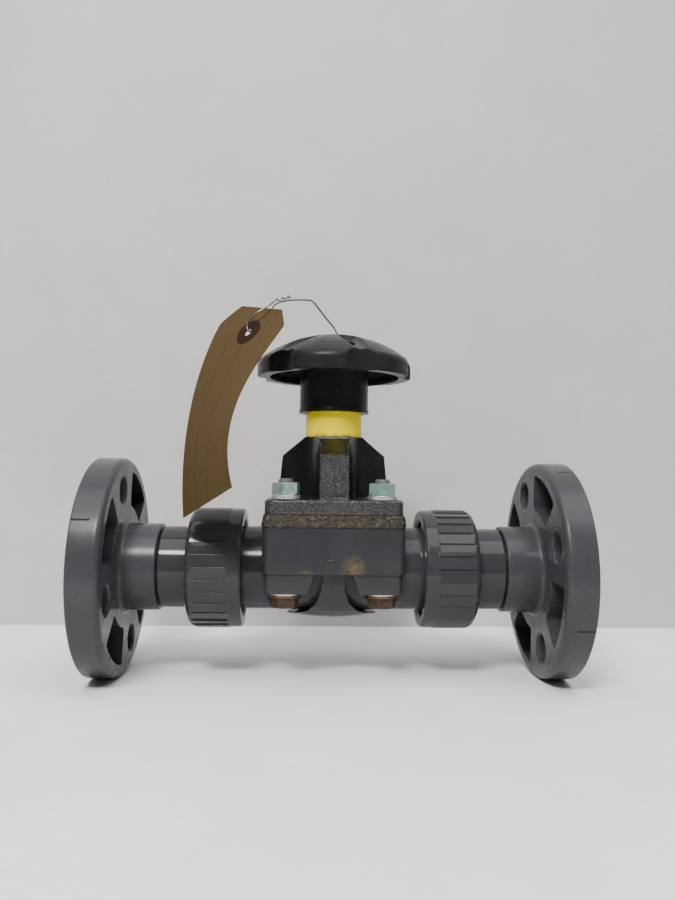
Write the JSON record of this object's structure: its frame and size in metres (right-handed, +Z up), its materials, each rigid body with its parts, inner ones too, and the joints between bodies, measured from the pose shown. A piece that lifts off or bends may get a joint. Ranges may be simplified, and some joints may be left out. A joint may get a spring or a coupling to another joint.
{
  "type": "diaphragm valve",
  "caption": "Weir-type diaphragm valve in grey PVC with a black iron bonnet, a lobed handwheel, a yellow position sleeve, union ends, fixed flanges and a paper tag on a wire.",
  "frame": {"origin": "the point where the spindle's axis crosses the axis of the flow bore", "axes": "+X along the pipe from the inlet flange to the outlet flange, +Z up the spindle towards the handwheel, +Y to the back"},
  "size_m": [0.3254, 0.1731, 0.2619],
  "materials": {
    "grey_pvc": "semi-gloss moulded PVC-U with fine scuffs",
    "diaphragm_rubber": "dirty matt EPDM",
    "seal_rubber": "satin",
    "black_iron": "gloss black coating over a cast surface",
    "black_plastic": "semi-gloss, slightly worn",
    "yellow_plastic": "semi-gloss",
    "zinc_steel": "zinc plated with a pale blue-green tint",
    "rusty_steel": "zinc worn off, brown rust",
    "turned_steel": "turned",
    "brass": "turned",
    "kraft_paper": "matt brown manila paper",
    "red_board": "matt red-brown reinforcing patch",
    "bright_wire": "soft galvanised wire"
  },
  "bodies": {
    "valve": {"valve_body": "grey_pvc", "diaphragm": "diaphragm_rubber", "bonnet": "black_iron", "bonnet_bolts": "rusty_steel", "bonnet_nuts": "zinc_steel", "upper_washers": "zinc_steel", "lower_washers": "zinc_steel", "spindle_bush": "brass", "spindle_seal": "seal_rubber", "indicator_sleeve": "yellow_plastic", "inlet_oring": "seal_rubber", "outlet_oring": "seal_rubber"},
    "compressor_set": {"compressor": "black_iron", "diaphragm_stud": "turned_steel", "compressor_pins": "turned_steel", "thrust_washer": "brass"},
    "handwheel_set": {"spindle": "turned_steel", "handwheel": "black_plastic", "wheel_washer": "zinc_steel", "wheel_nut": "zinc_steel"},
    "tag_set": {"tag": "kraft_paper", "tag_patch": "red_board", "tag_wire": "bright_wire"},
    "inlet_end": {"inlet_tail": "grey_pvc", "inlet_nipple": "grey_pvc", "inlet_flange": "grey_pvc"},
    "inlet_nut": {"inlet_union_nut": "grey_pvc"},
    "outlet_end": {"outlet_tail": "grey_pvc", "outlet_nipple": "grey_pvc", "outlet_flange": "grey_pvc"},
    "outlet_nut": {"outlet_union_nut": "grey_pvc"}
  },
  "joints": [
    {"name": "stem_lift", "type": "slide", "parent": "valve", "child": "compressor_set", "axis": [0, 0, 1], "range_m": [-0.016, 0], "deforming": ["diaphragm"]},
    {"name": "handwheel_turn", "type": "hinge", "parent": "compressor_set", "child": "handwheel_set", "pos_m": [0, 0, 0.12], "axis": [0, 0, 1], "range_deg": [-1440, 0]},
    {"name": "tag_swing", "type": "hinge", "parent": "compressor_set", "child": "tag_set", "pos_m": [0, 0, 0.16], "axis": [0, 0, 1], "range_deg": [0, 50]},
    {"name": "inlet_end_draw", "type": "slide", "parent": "valve", "child": "inlet_end", "axis": [-1, 0, 0], "range_m": [0, 0.01386]},
    {"name": "inlet_nut_turn", "type": "hinge", "parent": "inlet_end", "child": "inlet_nut", "pos_m": [-0.08, 0, 0], "axis": [-1, 0, 0], "range_deg": [0, 2160]},
    {"name": "outlet_end_draw", "type": "slide", "parent": "valve", "child": "outlet_end", "axis": [1, 0, 0], "range_m": [0, 0.01386]},
    {"name": "outlet_nut_turn", "type": "hinge", "parent": "outlet_end", "child": "outlet_nut", "pos_m": [0.08, 0, 0], "axis": [1, 0, 0], "range_deg": [0, 2160]}
  ],
  "couplings": [
    {"joint": "stem_lift", "follows": "handwheel_turn", "m_per_rad": 0.0006366},
    {"joint": "inlet_end_draw", "follows": "inlet_nut_turn", "m_per_rad": 0.00036749},
    {"joint": "outlet_end_draw", "follows": "outlet_nut_turn", "m_per_rad": 0.00036749}
  ]
}
